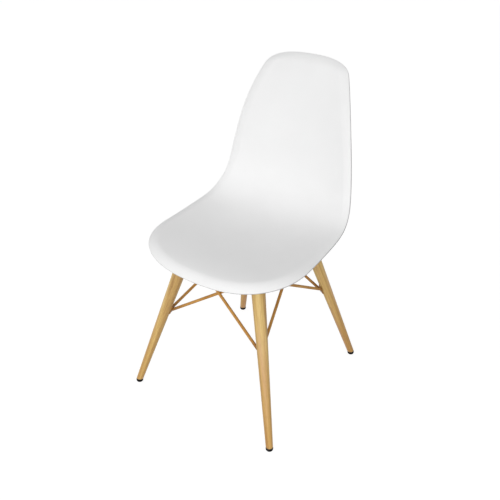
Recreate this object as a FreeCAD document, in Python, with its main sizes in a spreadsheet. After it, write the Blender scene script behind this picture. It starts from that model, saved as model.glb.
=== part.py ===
import FreeCAD, Part
import Sketcher
import math
import os

# A chair with a moulded plastic bucket shell on four splayed, tapered wooden legs.
# Each side of the base is braced by two crossed steel rods.
# The frame stands on z = 0 and faces -Y; x = 0 is the chair's plane of symmetry.

V = FreeCAD.Vector
doc = FreeCAD.newDocument("shell_chair")
sheet = doc.addObject("Spreadsheet::Sheet", "sizes")

SIZES = [
    # shell
    ("shell_front", -239.8, "y of the front edge on the centre line"),
    ("shell_depth", 466.9, "from the front edge to the top of the back, along y"),
    ("seat_height", 420.0, "z of the seat ahead of its lowest part"),
    ("back_rise", 404.0, "from the seat height to the top of the back"),
    ("shell_width", 435.0, "width over the sides of the seat, inside the rim's rounding"),
    ("side_rise", 44.4, "how far the sides stand up where the seat turns into the back"),
    ("side_power", 2.0, "how late the sides start to rise: 2 is a plain parabola"),
    ("shell_wall", 4.6, "wall of the shell"),
    ("roll_depth", 12.5, "how far the shell's edge rolls away from the sitter at the front"),
    ("roll_width", 26.0, "width of the rolled edge at the front"),
    ("front_round", 165.1, "length over which the front narrows to its edge"),
    ("top_round", 41.7, "length over which the top of the back narrows"),
    # bosses under the shell
    ("boss_diameter", 24.0, "moulded boss round each seat insert"),
    ("rib_length", 62.0, "rib through each boss"),
    ("rib_wall", 3.0, "thickness of a rib"),
    # legs
    ("front_foot_x", 216.1, "leg axis at the floor"),
    ("front_foot_y", -232.4, "leg axis at the floor"),
    ("front_top_x", 107.4, "leg axis at the top"),
    ("front_top_y", -133.2, "leg axis at the top"),
    ("rear_foot_x", 195.1, "leg axis at the floor"),
    ("rear_foot_y", 215.1, "leg axis at the floor"),
    ("rear_top_x", 88.3, "leg axis at the top"),
    ("rear_top_y", 110.2, "leg axis at the top"),
    ("leg_drop", 30.0, "from the seat height down to the leg's top on its axis"),
    ("leg_top_diameter", 34.1, "leg at its top"),
    ("leg_foot_diameter", 17.1, "leg at the floor"),
    ("leg_bevel", 1.6, "bevel of the leg's top edge"),
    ("flat_reach", 11.4, "leg axis to the milled flat"),
    ("flat_margin", 2.0, "flat beyond the end of the strap"),
    # foot glides
    ("glide_rise", 7.0, "height of the glide"),
    ("glide_diameter", 18.2, "glide over its rim"),
    ("glide_sole", 11.0, "flat sole of the glide"),
    ("glide_land", 2.2, "height of the glide's straight rim"),
    ("glide_hold", 4.2, "nail's length in the glide"),
    ("foot_bevel", 0.7, "bevel of the leg's lower edge"),
    ("nail_diameter", 2.6, "shank of the glide's nail"),
    ("nail_length", 14.0, "nail in the wood"),
    # steel frame
    ("frame_drop", 28.0, "from the seat height down to the top of the arms"),
    ("arm_wall", 4.0, "thickness of an arm"),
    ("arm_width", 20.0, "width of an arm"),
    ("arm_bend", 4.0, "inside radius of the bend"),
    ("arm_end_gap", 14.0, "arm's square end to the point where its axis meets x = 0"),
    ("strap_length", 60.0, "from the leg's top down to the strap's end"),
    ("plate_wall", 4.0, "thickness of the centre plate"),
    ("plate_margin", 34.0, "plate ahead of and behind the points where the arms meet"),
    ("plate_width", 84.0, "plate across"),
    ("plate_round", 12.0, "corner radius of the plate"),
    ("gusset_wall", 4.0, "thickness of a gusset"),
    ("gusset_relief", 1.0, "gusset clear of the bend"),
    ("gusset_run", 20.0, "gusset along the arm and down the strap"),
    # seat fixings
    ("mount_gap", 3.0, "gusset to the rim of the seat bolt's washer"),
    ("pad_height", 6.0, "spacer pad between arm and boss"),
    ("pad_diameter", 22.0, "spacer pad"),
    ("bolt_diameter", 6.0, "thread of the seat bolts and leg bolts"),
    ("bolt_clearance", 0.3, "radial play of a bolt in its hole"),
    ("head_diameter", 11.0, "bolt head"),
    ("head_height", 3.6, "bolt head"),
    ("hex_width", 4.0, "hexagon socket over its flats"),
    ("washer_diameter", 13.0, "washer over its rim"),
    ("washer_wall", 1.2, "thickness of a washer"),
    ("insert_diameter", 9.0, "threaded insert over its barrel"),
    ("insert_length", 9.0, "threaded insert in a boss or a leg"),
    ("fit_clearance", 0.05, "radial play of an insert, screw or nail in its hole"),
    ("seat_bolt_reach", 7.0, "seat bolt inside its insert"),
    ("leg_bolt_reach", 8.0, "leg bolt inside its insert"),
    ("leg_bolt_drop", 34.0, "leg's top to the upper leg bolt"),
    ("leg_bolt_pitch", 16.0, "upper to lower leg bolt"),
    # braces
    ("rod_diameter", 7.6, "brace rod"),
    ("rod_gap", 0.3, "between two crossed rods"),
    ("rod_low_drop", 151.8, "leg's top down to where two rods of a leg come together"),
    ("rod_low_reach", 23.0, "that point to the leg's axis, inwards"),
    ("rod_low_side", 13.6, "that point beside the leg's plane of lean"),
    ("rod_high_drop", 19.6, "leg's top down to the rod near the top of the next leg"),
    ("rod_high_reach", 34.8, "that point to the leg's axis, inwards"),
    ("rod_high_side", 10.2, "that point beside the leg's plane of lean"),
    ("weld_gap", 0.1, "left for the weld between a rod's end and its saddle"),
    ("saddle_wall", 2.0, "thickness of a saddle"),
    ("saddle_gap", 0.2, "between the saddle and the round leg"),
    ("saddle_height", 24.0, "saddle along the leg"),
    ("saddle_angle", 62.0, "how far the saddle goes round the leg"),
    ("saddle_lift", 6.0, "rods' meeting point above the saddle's middle"),
    ("screw_diameter", 4.0, "shank of the saddle's screw"),
    ("screw_length", 18.0, "screw below its head"),
    ("screw_head", 7.0, "head of the screw"),
    ("screw_drop", 6.6, "screw below the saddle's middle"),
]


class Size:
    """A length with the sheet formula that it comes from."""

    def __init__(self, value, text):
        self.value = value
        self.text = text

    def joined(self, other, sign, value):
        text = other.text if isinstance(other, Size) else repr(float(other))
        return Size(value, "(%s %s %s)" % (self.text, sign, text))

    def __add__(self, other):
        return self.joined(other, "+", self.value + number(other))

    def __sub__(self, other):
        return self.joined(other, "-", self.value - number(other))

    def __mul__(self, other):
        return self.joined(other, "*", self.value * number(other))

    def __truediv__(self, other):
        return self.joined(other, "/", self.value / number(other))

    def __neg__(self):
        return self * -1.0


def number(length):
    return length.value if isinstance(length, Size) else float(length)


def root(length):
    return Size(math.sqrt(length.value), "sqrt(%s)" % length.text)


size = {}
for row, (alias, value, note) in enumerate(SIZES, 1):
    sheet.set("A%d" % row, alias)
    sheet.set("B%d" % row, str(value))
    sheet.setAlias("B%d" % row, alias)
    sheet.set("C%d" % row, note)
doc.recompute()
for alias, value, note in SIZES:
    size[alias] = Size(float(sheet.get(alias)), "sizes." + alias)

# The base hangs from the seat, so these heights follow it
size["leg_rise"] = size["seat_height"] - size["leg_drop"]
size["frame_top"] = size["seat_height"] - size["frame_drop"]
size["rod_low_rise"] = size["leg_rise"] - size["rod_low_drop"]
size["rod_high_rise"] = size["leg_rise"] - size["rod_high_drop"]

pieces = []
UNTURNED = FreeCAD.Rotation()


def bind(thing, prop, length):
    """Tie one property of an object to the sheet."""
    if isinstance(length, Size):
        thing.setExpression(prop, length.text)
    else:
        setattr(thing, prop, length)


def keep(thing, label, placement):
    """Name a finished piece and put it in its place."""
    thing.Label = label
    thing.Placement = placement
    pieces.append(thing)
    return thing


# Sketches and features

def plane_of(body, role):
    return [p for p in body.Origin.OriginFeatures if p.Role == role][0]


def sketch_on(body, role, name, offset=None):
    sketch = body.newObject("Sketcher::SketchObject", name)
    sketch.AttachmentSupport = [(plane_of(body, role), "")]
    sketch.MapMode = "FlatFace"
    if offset is not None:
        sketch.AttachmentOffset = offset
    return sketch


def fix_point(sketch, geo, pos, x, y):
    """Hold a sketch point at x, y from the sketch's origin."""
    for kind, length in (("DistanceX", x), ("DistanceY", y)):
        name = "%s_%d_%d" % (kind, geo, pos)
        index = sketch.addConstraint(
            Sketcher.Constraint(kind, -1, 1, geo, pos, number(length)))
        sketch.renameConstraint(index, name)
        if isinstance(length, Size):
            sketch.setExpression("Constraints." + name, length.text)


def outline(sketch, points):
    """Closed outline of straight lines through points held at their places."""
    at = [V(number(x), number(y), 0) for x, y in points]
    count = len(points)
    for i in range(count):
        sketch.addGeometry(Part.LineSegment(at[i], at[(i + 1) % count]), False)
    for i in range(count):
        sketch.addConstraint(Sketcher.Constraint("Coincident", i, 2, (i + 1) % count, 1))
    for i, (x, y) in enumerate(points):
        fix_point(sketch, i, 1, x, y)


def circle(sketch, x, y, diameter):
    geo = sketch.addGeometry(
        Part.Circle(V(number(x), number(y), 0), V(0, 0, 1), number(diameter) / 2), False)
    fix_point(sketch, geo, 3, x, y)
    index = sketch.addConstraint(Sketcher.Constraint("Diameter", geo, number(diameter)))
    name = "Diameter_%d" % geo
    sketch.renameConstraint(index, name)
    if isinstance(diameter, Size):
        sketch.setExpression("Constraints." + name, diameter.text)


def turn(body, sketch, name, angle=360.0):
    feature = body.newObject("PartDesign::Revolution", name)
    feature.Profile = sketch
    feature.ReferenceAxis = (sketch, ["V_Axis"])
    bind(feature, "Angle", angle)
    feature.Midplane = True
    doc.recompute()
    return feature


def pad(body, sketch, name, length, midplane=True):
    feature = body.newObject("PartDesign::Pad", name)
    feature.Profile = sketch
    feature.Midplane = midplane
    bind(feature, "Length", length)
    doc.recompute()
    return feature


def pocket(body, sketch, name, length=None, midplane=False, forward=False):
    """Cut along the sketch's normal; through everything where no length is given."""
    before = body.Shape.Volume
    feature = body.newObject("PartDesign::Pocket", name)
    feature.Profile = sketch
    feature.Midplane = midplane
    feature.Reversed = forward
    if length is None:
        feature.Type = "ThroughAll"
    else:
        feature.Type = "Length"
        bind(feature, "Length", length)
    doc.recompute()
    if body.Shape.Volume > before - 1e-3:
        raise RuntimeError("%s of %s cuts nothing" % (name, body.Label))
    return feature


# How near an edge must lie to the place where it is looked for
NEAR = 0.01


def edges_where(shape, test):
    return ["Edge%d" % (i + 1) for i, edge in enumerate(shape.Edges) if test(edge)]


def round_edges(body, base, kind, amount, test):
    """Fillet or chamfer the edges that pass a test."""
    feature = body.newObject("PartDesign::" + kind, kind)
    feature.Base = (base, edges_where(base.Shape, test))
    bind(feature, "Radius" if kind == "Fillet" else "Size", amount)
    doc.recompute()
    return feature


# Corners of the base: each leg leans in a vertical plane of its own

class Corner:
    """One corner: where its leg stands and which way and how far it leans."""

    def __init__(self, end, side):
        sign = -1 if side == "left" else 1
        foot_x, foot_y = size[end + "_foot_x"], size[end + "_foot_y"]
        top_x, top_y = size[end + "_top_x"], size[end + "_top_y"]
        run_x, run_y = foot_x - top_x, foot_y - top_y
        self.name = end + "_" + side
        self.run = root(run_x * run_x + run_y * run_y)
        self.length = root(self.run * self.run + size["leg_rise"] * size["leg_rise"])
        self.slope = self.run / size["leg_rise"]
        self.cosine = size["leg_rise"] / self.length
        self.sine = self.run / self.length
        self.centre_run = foot_x * self.run / run_x
        self.crossing = foot_y - run_y * foot_x / run_x
        self.foot = V(sign * foot_x.value, foot_y.value, 0)
        self.inward = V(-sign * run_x.value, -run_y.value, 0).normalize()
        self.sideways = V(0, 0, 1).cross(self.inward)
        self.lean = math.degrees(math.atan(self.slope.value))

    def arm_face(self, rise, depth):
        """How far inwards a face of the strap lies at a height; depth 0 is on the leg."""
        return rise * self.slope + (size["flat_reach"] + depth) / self.cosine

    def mount_reach(self):
        """Seat bolt along the arm: its washer clears the gusset."""
        bend = self.arm_face(size["frame_top"] - size["arm_wall"], size["arm_wall"])
        beside = size["washer_diameter"] / 2 + size["mount_gap"]
        return bend + size["gusset_run"] + beside

    def upright(self):
        """Frame at the floor point: x inwards along the lean, z up."""
        turned = FreeCAD.Rotation(self.inward, self.sideways, V(0, 0, 1), "ZXY")
        return FreeCAD.Placement(self.foot, turned)

    def leaning(self):
        """Frame at the floor point: z up the leg's axis, x inwards and square to it."""
        tilt = FreeCAD.Placement(V(0, 0, 0), FreeCAD.Rotation(V(0, 1, 0), self.lean))
        return self.upright().multiply(tilt)

    def point(self, rise, reach, side):
        """A point at a height, so far inwards from the leg's axis and beside it."""
        along = rise * self.slope.value + reach
        return self.foot + self.inward * along + self.sideways * side + V(0, 0, rise)


corners = {}
for end in ("front", "rear"):
    for side in ("left", "right"):
        corners[end + "_" + side] = Corner(end, side)

leg_taper = (size["leg_top_diameter"] - size["leg_foot_diameter"]) / 2


def leg_radius(corner, along):
    """Radius of the leg at a distance up its axis."""
    return size["leg_foot_diameter"] / 2 + leg_taper * along / corner.length


# Seat shell: the sitting surface is a line along the middle, with sides that rise.
# The middle line goes from the front edge over the seat and up the back.
# Each pair is a share of the shell's depth and a share of the back's rise.
MIDDLE_LINE = [(0.0, -0.0277), (0.045, -0.0114), (0.1769, 0.004), (0.377, -0.0005),
               (0.5774, -0.0025), (0.7526, 0.0285), (0.8646, 0.1356), (0.9107, 0.3639),
               (0.9214, 0.6151), (0.957, 0.8584), (1.0, 1.0)]
# Half width against the way along the middle line, as a share of the shell's width.
WIDTH_LINE = [(0.0, 0.5239), (0.12, 0.5002), (0.24, 0.4883), (0.36, 0.4772), (0.46, 0.4582),
              (0.56, 0.4301), (0.70, 0.3915), (0.84, 0.3370), (1.0, 0.2343)]
# Rise of the sides against the way along, as a share of the greatest rise.
SIDE_LINE = [(0.0, 0.191), (0.15, 0.372), (0.32, 0.651), (0.45, 0.874), (0.55, 1.0),
             (0.66, 0.912), (0.82, 0.545), (1.0, -0.034)]
# Depth and width of the rolled edge against the way along, as shares of those at the front.
ROLL_LINE = [(0.0, 1.0, 1.0), (0.2, 0.84, 0.92), (0.35, 0.60, 0.81), (0.5, 0.48, 0.77),
             (0.65, 0.64, 0.85), (0.85, 0.72, 0.96), (1.0, 0.80, 1.15)]
FRONT_POWER = 2.37
TOP_POWER = 2.72
# The outline is followed at this many places: front end, side, top end.
FRONT_STEPS, SIDE_STEPS, TOP_STEPS = 12, 14, 8
# Lines across and along the net that the surface passes through, closer near the edges.
NET_ALONG, NET_ACROSS = 51, 31
NET_GATHER = 0.6
# The rim's half round is made of this many narrow strips.
RIM_STRIPS = 4


def gathered(count):
    """Numbers from 0 to 1 that stand closer together near both ends."""
    even = [i / (count - 1) for i in range(count)]
    return [t - NET_GATHER * math.sin(2 * math.pi * t) / (2 * math.pi) for t in even]


class ShellForm:
    """The sitting surface of the shell and the outline on it."""

    def __init__(self):
        front, depth = size["shell_front"].value, size["shell_depth"].value
        height, rise = size["seat_height"].value, size["back_rise"].value
        self.middle = Part.BSplineCurve()
        self.middle.interpolate([V(0, front + depth * a, height + rise * b)
                                 for a, b in MIDDLE_LINE])
        self.length = self.middle.length()
        self.wall = size["shell_wall"].value
        self.power = size["side_power"].value
        self.graphs = [self.graph(WIDTH_LINE, size["shell_width"].value),
                       self.graph(SIDE_LINE, size["side_rise"].value),
                       self.graph([(a, b) for a, b, c in ROLL_LINE], size["roll_depth"].value),
                       self.graph([(a, c) for a, b, c in ROLL_LINE], size["roll_width"].value)]
        self.stations = {}
        # the surface reaches past the outline, which is then trimmed out of it
        self.margin = 2 * self.wall

    def graph(self, line, scale):
        curve = Part.BSplineCurve()
        curve.interpolate([V(a * self.length, b * scale, 0) for a, b in line])
        return curve

    def read(self, curve, along):
        """Height of a graph at a distance along the middle line."""
        low, high = curve.FirstParameter, curve.LastParameter
        while high - low > 1e-9 * self.length:
            middle = (low + high) / 2
            if curve.value(middle).x < along:
                low = middle
            else:
                high = middle
        return curve.value(low).y

    def station(self, along):
        """Place and upward direction on the middle line, with what the graphs say there."""
        if along not in self.stations:
            near = min(max(along, 0), self.length)
            where = self.middle.parameterAtDistance(near)
            forward = self.middle.tangent(where)[0]
            self.stations[along] = (self.middle.value(where) + forward * (along - near),
                                    V(0, -forward.z, forward.y),
                                    [self.read(graph, near) for graph in self.graphs])
        return self.stations[along]

    def half_width(self, along):
        return self.station(along)[2][0]

    def inside_edge(self, along, x):
        """How far a place lies inside the outline, near enough for the rolled edge."""
        half = self.half_width(along)
        share = abs(x) / half
        front, top = size["front_round"].value, size["top_round"].value
        if along < front:
            reach, power, end = front, FRONT_POWER, 1 - along / front
        elif along > self.length - top:
            reach, power, end = top, TOP_POWER, 1 - (self.length - along) / top
        else:
            return (1 - share) * half
        level = (share ** power + end ** power) ** (1 / power)
        if level == 0:
            return reach
        slope = math.hypot((share / level) ** (power - 1) / half,
                           (end / level) ** (power - 1) / reach)
        return (1 - level) / slope

    def point(self, along, x):
        base, up, (half, rise, roll_depth, roll_width) = self.station(along)
        lift = rise * abs(x / half) ** self.power
        lean = self.power * lift / x if x else 0
        rolled = max(1 - self.inside_edge(along, x) / roll_width, 0) ** 2 * roll_depth
        return V(x, base.y, base.z) + up * lift - (up - V(lean, 0, 0)).normalize() * rolled

    def normal(self, along, x):
        step = 0.5
        ahead = self.point(along + step, x) - self.point(along - step, x)
        across = self.point(along, x + step) - self.point(along, x - step)
        return across.cross(ahead).normalize()

    def outline(self):
        """The right-hand outline as distances along and across, front to top."""
        front, top = size["front_round"].value, size["top_round"].value
        places = []
        for i in range(FRONT_STEPS):
            angle = math.pi / 2 * i / FRONT_STEPS
            along = front * (1 - math.cos(angle) ** (2 / FRONT_POWER))
            share = math.sin(angle) ** (2 / FRONT_POWER)
            places.append((along, share * self.half_width(along)))
        for i in range(SIDE_STEPS):
            along = front + (self.length - top - front) * i / SIDE_STEPS
            places.append((along, self.half_width(along)))
        for i in range(TOP_STEPS + 1):
            angle = math.pi / 2 * (1 - i / TOP_STEPS)
            along = self.length - top * (1 - abs(math.cos(angle)) ** (2 / TOP_POWER))
            share = abs(math.sin(angle)) ** (2 / TOP_POWER)
            places.append((along, share * self.half_width(along)))
        return places

    def surface(self, depth):
        """The smooth surface that lies a given depth under the sitting surface."""
        net = []
        for t in gathered(NET_ALONG):
            along = (self.length + 2 * self.margin) * t - self.margin
            reach = self.half_width(along) + self.margin
            across = [reach * (2 * t - 1) for t in gathered(NET_ACROSS)]
            net.append([self.point(along, x) - self.normal(along, x) * depth
                        for x in across])
        surface = Part.BSplineSurface()
        surface.interpolate(net)
        return surface

    def rim_line(self, places, turned):
        """The line along the rim at an angle round its half circle."""
        line = []
        last = len(places) - 1
        for i, (along, x) in enumerate(places):
            normal = self.normal(along, x)
            if i == 0:
                course = V(1, 0, 0)
            elif i == last:
                course = V(-1, 0, 0)
            else:
                course = self.point(*places[i + 1]) - self.point(*places[i - 1])
            outward = course.cross(normal).normalize()
            core = self.point(along, x) - normal * (self.wall / 2)
            arm = normal * math.cos(turned) + outward * math.sin(turned)
            line.append(core + arm * (self.wall / 2))
        return line


def mirrored(points):
    return [V(-p.x, p.y, p.z) for p in reversed(points)]


def trimmed_face(surface, lines):
    """The part of a surface inside the outline, its edges and their parameters."""
    edges, knots = [], []
    for line in lines:
        flat = Part.Geom2d.BSplineCurve2d()
        flat.interpolate([FreeCAD.Base.Vector2d(*surface.parameter(p)) for p in line])
        edges.append(flat.toShape(surface))
        knots.append(flat.getKnots())
    return Part.Face(surface, Part.Wire(edges)), edges, knots


def shell_solid(form):
    places = form.outline()
    top_line = form.rim_line(places, 0)
    under_line = form.rim_line(places, math.pi)
    top, top_edges, knots = trimmed_face(form.surface(0), [top_line, mirrored(top_line)])
    under, under_edges, unused = trimmed_face(
        form.surface(form.wall), [under_line, mirrored(under_line)])
    faces = [top, under]
    for half in (0, 1):
        edges = [top_edges[half]]
        for strip in range(1, RIM_STRIPS):
            line = form.rim_line(places, math.pi * strip / RIM_STRIPS)
            curve = Part.BSplineCurve()
            curve.interpolate(Points=mirrored(line) if half else line,
                              Parameters=knots[half])
            edges.append(curve.toShape())
        edges.append(under_edges[half])
        for first, second in zip(edges, edges[1:]):
            faces.append(Part.makeRuledSurface(first, second))
    skin = Part.makeShell(faces)
    skin.sewShape()
    return Part.makeSolid(skin)


def mount_point(corner):
    """Place of a seat bolt in plan."""
    return corner.foot + corner.inward * corner.mount_reach().value


form = ShellForm()
boss_foot = size["frame_top"].value + size["pad_height"].value


def boss_with_ribs(corner):
    """A boss on the arm's line with two crossed ribs, taller than it needs to be."""
    centre = mount_point(corner) + V(0, 0, boss_foot)
    height = size["seat_height"].value
    boss = Part.makeCylinder(size["boss_diameter"].value / 2, height, centre)
    length, wall = size["rib_length"].value, size["rib_wall"].value
    heading = math.degrees(math.atan2(corner.inward.y, corner.inward.x))
    for turned in (0, 90):
        rib = Part.makeBox(length, wall, height, V(-length / 2, -wall / 2, 2 * wall))
        rib.rotate(V(0, 0, 0), V(0, 0, 1), heading + turned)
        rib.translate(centre)
        boss = boss.fuse(rib)
    return boss


def insert_hole(corner):
    centre = mount_point(corner) + V(0, 0, boss_foot)
    radius = size["insert_diameter"].value / 2 + size["fit_clearance"].value
    return Part.makeCylinder(radius, size["insert_length"].value, centre)


# The bosses and ribs follow the shell: what is above the middle of its wall is cut off
under_wall = form.surface(form.wall / 2).toShape()
under_wall = under_wall.extrude(V(0, 0, -2 * size["leg_rise"].value))
bosses = Part.makeCompound([boss_with_ribs(corner) for corner in corners.values()])
moulding = shell_solid(form).fuse(bosses.common(under_wall))
moulding = moulding.cut(Part.makeCompound([insert_hole(c) for c in corners.values()]))

seat_shell = doc.addObject("Part::Feature", "seat_shell")
seat_shell.Shape = moulding
keep(seat_shell, "seat_shell", FreeCAD.Placement())


# Legs: turned and tapered, with a milled flat for the steel strap, holes for inserts,
# the saddle's screw and the glide's nail, and a foot cut level with the floor

def rod_meeting(corner):
    """How far up the leg its two rods come together."""
    return size["rod_low_rise"] / corner.cosine


def saddle_middle(corner):
    return rod_meeting(corner) - size["saddle_lift"]


def screw_place(corner):
    return saddle_middle(corner) - size["screw_drop"]


def saddle_reach(corner, along):
    """Leg axis to the outside of the saddle."""
    return leg_radius(corner, along) + size["saddle_gap"] + size["saddle_wall"]


def bolt_places(corner):
    upper = corner.length - size["leg_bolt_drop"]
    return [upper, upper - size["leg_bolt_pitch"]]


def across_leg(reach):
    """Sketch place square to the leg's lean, a given way inwards from its axis."""
    return FreeCAD.Placement(V(0, 0, number(reach)), FreeCAD.Rotation())


fit_bore = size["insert_diameter"] + size["fit_clearance"] * 2
bolt_bore = size["bolt_diameter"] + size["bolt_clearance"] * 2
screw_bore = size["screw_diameter"] + size["fit_clearance"] * 2
nail_bore = size["nail_diameter"] + size["fit_clearance"] * 2
glide_rise, glide_land = size["glide_rise"], size["glide_land"]
nail_foot = glide_rise - size["glide_hold"]
# The glide's dome is made of this many narrow cones
GLIDE_CONES = 3


def make_leg(corner):
    body = doc.addObject("PartDesign::Body", "leg_" + corner.name)
    foot, top = size["leg_foot_diameter"] / 2, size["leg_top_diameter"] / 2
    taper = sketch_on(body, "XZ_Plane", "taper")
    outline(taper, [(0, 0), (foot, 0), (top, corner.length), (0, corner.length)])
    turned = turn(body, taper, "turned_taper")
    below_top = corner.length.value - top.value
    round_edges(body, turned, "Chamfer", size["leg_bevel"],
                lambda e: e.BoundBox.ZMin > below_top and e.BoundBox.XLength > foot.value)

    beyond = size["leg_top_diameter"]
    level = glide_rise / corner.cosine
    cut = sketch_on(body, "XZ_Plane", "level_cut")
    outline(cut, [(-beyond, level - beyond * corner.slope),
                  (beyond, level + beyond * corner.slope),
                  (beyond, -beyond), (-beyond, -beyond)])
    levelled = pocket(body, cut, "level_foot", beyond * 2, midplane=True)
    low = level.value + foot.value
    round_edges(body, levelled, "Chamfer", size["foot_bevel"],
                lambda e: e.BoundBox.ZMax < low and e.BoundBox.XLength > foot.value)

    flat_foot = corner.length - size["strap_length"] - size["flat_margin"]
    flat_top = corner.length + size["flat_margin"]
    flat = sketch_on(body, "XZ_Plane", "flat_side")
    outline(flat, [(size["flat_reach"], flat_foot), (beyond, flat_foot),
                   (beyond, flat_top), (size["flat_reach"], flat_top)])
    pocket(body, flat, "strap_flat", beyond * 2, midplane=True)

    bores = sketch_on(body, "YZ_Plane", "insert_bores",
                      across_leg(size["flat_reach"] - size["insert_length"]))
    for along in bolt_places(corner):
        circle(bores, 0, along, fit_bore)
    pocket(body, bores, "insert_holes", forward=True)

    along = screw_place(corner)
    bore = sketch_on(body, "YZ_Plane", "screw_bore",
                     across_leg(saddle_reach(corner, along) - size["screw_length"]))
    circle(bore, 0, along, screw_bore)
    pocket(body, bore, "screw_hole", forward=True)

    upright = FreeCAD.Placement(V(0, 0, level.value),
                                FreeCAD.Rotation(V(0, 1, 0), -corner.lean))
    bore = sketch_on(body, "XY_Plane", "nail_bore", upright)
    circle(bore, 0, 0, nail_bore)
    pocket(body, bore, "nail_hole", size["nail_length"], forward=True)
    return keep(body, "leg_" + corner.name, corner.leaning())


def make_glide(corner):
    body = doc.addObject("PartDesign::Body", "glide_" + corner.name)
    edge, sole, dome = size["glide_diameter"] / 2, size["glide_sole"] / 2, glide_rise - glide_land
    profile = sketch_on(body, "XZ_Plane", "profile")
    steps = [math.pi / 2 * i / GLIDE_CONES for i in range(GLIDE_CONES + 1)]
    outline(profile, [(0, 0)]
            + [(sole + (edge - sole) * math.sin(a), dome * (1 - math.cos(a))) for a in steps]
            + [(edge, glide_rise), (0, glide_rise)])
    turn(body, profile, "disc")
    bore = sketch_on(body, "XY_Plane", "nail_bore",
                     FreeCAD.Placement(V(0, 0, nail_foot.value), FreeCAD.Rotation()))
    circle(bore, 0, 0, nail_bore)
    pocket(body, bore, "nail_hole", forward=True)
    return keep(body, "glide_" + corner.name, FreeCAD.Placement(glide_centre(corner), UNTURNED))


def glide_centre(corner):
    """The glide sits where the leg's axis meets the level cut."""
    return corner.foot + corner.inward * (glide_rise.value * corner.slope.value)


# Steel frame: bent arms on a centre plate, a gusset in each bend

def strap_point(corner, along, depth):
    """A point of the strap's end, for a distance up the leg and a depth from it."""
    reach = size["flat_reach"] + depth
    return (along * corner.sine + reach * corner.cosine,
            along * corner.cosine - reach * corner.sine)


def bolt_heading(corner):
    """Sketch place through the leg's axis, looking square out of the strap."""
    lean = math.radians(corner.lean)
    axis = V(math.sin(lean), 0, math.cos(lean))
    out = V(math.cos(lean), 0, -math.sin(lean))
    return FreeCAD.Placement(V(0, 0, 0), FreeCAD.Rotation(V(0, 1, 0), axis, out, "ZXY"))


def make_arm(corner):
    body = doc.addObject("PartDesign::Body", "arm_" + corner.name)
    wall, top = size["arm_wall"], size["frame_top"]
    inner_end = corner.centre_run - size["arm_end_gap"]
    strap_end = corner.length - size["strap_length"]
    profile = sketch_on(body, "XZ_Plane", "bent_strip")
    outline(profile, [(inner_end, top), (inner_end, top - wall),
                      (corner.arm_face(top - wall, wall), top - wall),
                      strap_point(corner, strap_end, wall),
                      strap_point(corner, strap_end, 0),
                      (corner.arm_face(top, 0), top)])
    strip = pad(body, profile, "strip", size["arm_width"])

    def at_bend(depth, rise):
        place = V(corner.arm_face(rise, depth).value, 0, rise.value)
        return lambda e: (e.CenterOfMass - place).Length < NEAR

    inside = round_edges(body, strip, "Fillet", size["arm_bend"], at_bend(wall, top - wall))
    round_edges(body, inside, "Fillet", size["arm_bend"] + wall, at_bend(0, top))

    holes = sketch_on(body, "XY_Plane", "leg_bolt_circles", bolt_heading(corner))
    for along in bolt_places(corner):
        circle(holes, 0, along, bolt_bore)
    pocket(body, holes, "leg_bolt_holes", forward=True)
    hole = sketch_on(body, "XY_Plane", "seat_bolt_circle")
    circle(hole, corner.mount_reach(), 0, bolt_bore)
    pocket(body, hole, "seat_bolt_hole", forward=True)
    return keep(body, "arm_" + corner.name, corner.upright())


def make_gusset(corner):
    body = doc.addObject("PartDesign::Body", "gusset_" + corner.name)
    wall, rise = size["arm_wall"], size["frame_top"] - size["arm_wall"]
    start = corner.arm_face(rise, wall)
    relief, run = size["arm_bend"] + size["gusset_relief"], size["gusset_run"]
    profile = sketch_on(body, "XZ_Plane", "web")
    outline(profile, [(start + relief, rise), (start + run, rise),
                      (start - run * corner.sine, rise - run * corner.cosine),
                      (start - relief * corner.sine, rise - relief * corner.cosine)])
    pad(body, profile, "plate", size["gusset_wall"])
    return keep(body, "gusset_" + corner.name, corner.upright())


def make_centre_plate():
    body = doc.addObject("PartDesign::Body", "centre_plate")
    half = size["plate_width"] / 2
    front = corners["front_left"].crossing - size["plate_margin"]
    rear = corners["rear_left"].crossing + size["plate_margin"]
    foot = size["frame_top"] - size["arm_wall"] - size["plate_wall"]
    shape = sketch_on(body, "XY_Plane", "shape",
                      FreeCAD.Placement(V(0, 0, foot.value), FreeCAD.Rotation()))
    outline(shape, [(-half, front), (half, front), (half, rear), (-half, rear)])
    plate = pad(body, shape, "plate", size["plate_wall"], midplane=False)
    wall = size["plate_wall"].value
    round_edges(body, plate, "Fillet", size["plate_round"],
                lambda e: abs(e.BoundBox.ZLength - wall) < NEAR)
    return keep(body, "centre_plate", FreeCAD.Placement())


def make_pad(corner):
    body = doc.addObject("PartDesign::Body", "seat_pad_" + corner.name)
    ring = sketch_on(body, "XY_Plane", "ring")
    circle(ring, 0, 0, size["pad_diameter"])
    circle(ring, 0, 0, bolt_bore)
    pad(body, ring, "spacer", size["pad_height"], midplane=False)
    place = mount_point(corner) + V(0, 0, size["frame_top"].value)
    return keep(body, "seat_pad_" + corner.name, FreeCAD.Placement(place, UNTURNED))


# Braces: a saddle low on each leg, and a rod from each saddle to the next leg's gusset

def make_saddle(corner):
    body = doc.addObject("PartDesign::Body", "brace_saddle_" + corner.name)
    middle, half = saddle_middle(corner), size["saddle_height"] / 2
    wall = size["saddle_wall"]
    low, high = middle - half, middle + half
    profile = sketch_on(body, "XZ_Plane", "wall")
    outline(profile, [(saddle_reach(corner, low) - wall, low), (saddle_reach(corner, low), low),
                      (saddle_reach(corner, high), high),
                      (saddle_reach(corner, high) - wall, high)])
    turn(body, profile, "curved_wall", size["saddle_angle"])
    hole = sketch_on(body, "YZ_Plane", "screw_circle")
    circle(hole, 0, screw_place(corner), screw_bore)
    pocket(body, hole, "screw_hole", forward=True)
    return keep(body, "brace_saddle_" + corner.name, corner.leaning())


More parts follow.
